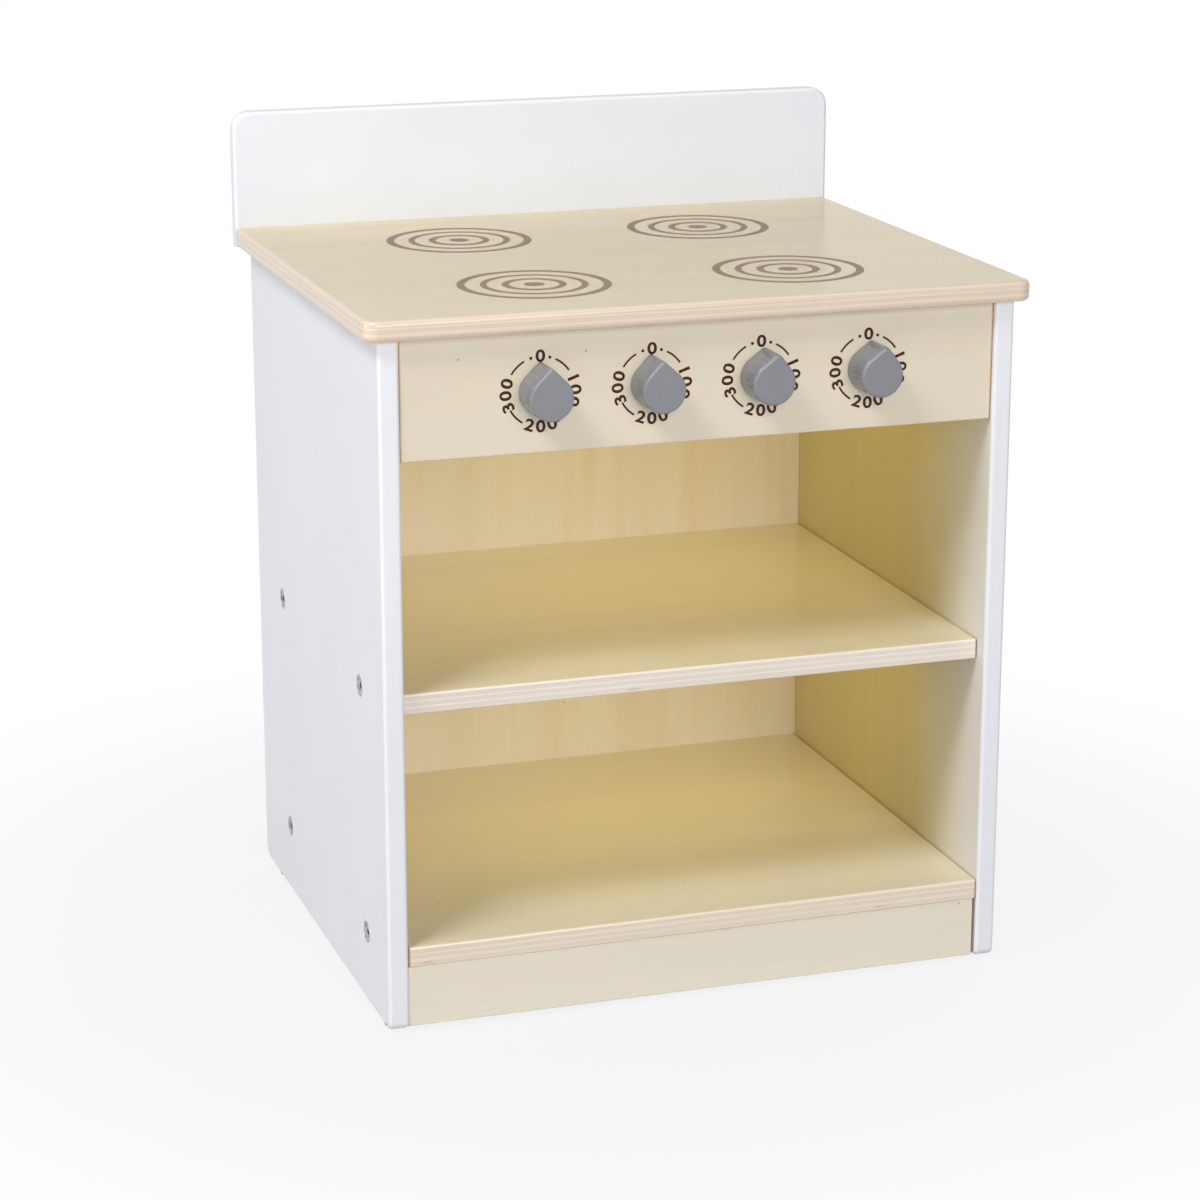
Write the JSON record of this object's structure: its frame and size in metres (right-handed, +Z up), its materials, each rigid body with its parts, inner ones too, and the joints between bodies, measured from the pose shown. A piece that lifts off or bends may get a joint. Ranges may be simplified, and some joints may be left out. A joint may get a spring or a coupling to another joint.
{
  "type": "wooden toy stove",
  "caption": "Wooden toy stove with printed burner rings on its counter, a white backsplash, turning control knobs and open shelves between white side panels.",
  "frame": {"origin": "on the floor under the middle of the stove's box, knobs and backsplash included", "axes": "+Z up, -Y towards the child at the knobs, +X to the right seen from the front"},
  "size_m": [0.457, 0.3956, 0.565],
  "materials": {
    "white_painted_wood": "satin white paint",
    "natural_plywood": "clear satin lacquer",
    "knob_paint": "satin grey paint",
    "zinc_steel": "bright zinc plate",
    "washer_nylon": "moulded",
    "dowel_wood": "raw beech",
    "glide_plastic": "moulded, dark red",
    "burner_print": "screen-printed taupe ink",
    "dial_print": "screen-printed brown ink"
  },
  "bodies": {
    "carcass": {"left_side_panel": "white_painted_wood", "right_side_panel": "white_painted_wood", "backsplash": "white_painted_wood", "counter_top": "natural_plywood", "control_panel": "natural_plywood", "middle_shelf": "natural_plywood", "bottom_shelf": "natural_plywood", "toe_board": "natural_plywood", "back_panel": "natural_plywood", "knob_rear_washers": "zinc_steel", "middle_shelf_bolts": "zinc_steel", "bottom_shelf_bolts": "zinc_steel", "middle_shelf_barrel_nuts": "zinc_steel", "bottom_shelf_barrel_nuts": "zinc_steel", "counter_cam_bolts": "zinc_steel", "counter_cam_discs": "zinc_steel", "backsplash_screws": "zinc_steel", "back_panel_nails": "zinc_steel", "glide_nails": "zinc_steel", "knob_front_washers": "washer_nylon", "middle_shelf_dowels": "dowel_wood", "bottom_shelf_dowels": "dowel_wood", "control_panel_dowels": "dowel_wood", "counter_dowels": "dowel_wood", "toe_board_dowels": "dowel_wood", "glide_front_left": "glide_plastic", "glide_back_left": "glide_plastic", "glide_front_right": "glide_plastic", "glide_back_right": "glide_plastic"},
    "knob_far_left": {"knob_far_left": "knob_paint", "knob_screw_far_left": "zinc_steel"},
    "knob_mid_left": {"knob_mid_left": "knob_paint", "knob_screw_mid_left": "zinc_steel"},
    "knob_mid_right": {"knob_mid_right": "knob_paint", "knob_screw_mid_right": "zinc_steel"},
    "knob_far_right": {"knob_far_right": "knob_paint", "knob_screw_far_right": "zinc_steel"}
  },
  "joints": [
    {"name": "knob_far_left_turn", "type": "hinge", "parent": "carcass", "child": "knob_far_left", "pos_m": [-0.11075, -0.17283, 0.428], "axis": [0, 1, 0], "continuous": true},
    {"name": "knob_mid_left_turn", "type": "hinge", "parent": "carcass", "child": "knob_mid_left", "pos_m": [-0.03545, -0.17283, 0.428], "axis": [0, 1, 0], "continuous": true},
    {"name": "knob_mid_right_turn", "type": "hinge", "parent": "carcass", "child": "knob_mid_right", "pos_m": [0.03985, -0.17283, 0.428], "axis": [0, 1, 0], "continuous": true},
    {"name": "knob_far_right_turn", "type": "hinge", "parent": "carcass", "child": "knob_far_right", "pos_m": [0.11515, -0.17283, 0.428], "axis": [0, 1, 0], "continuous": true}
  ]
}
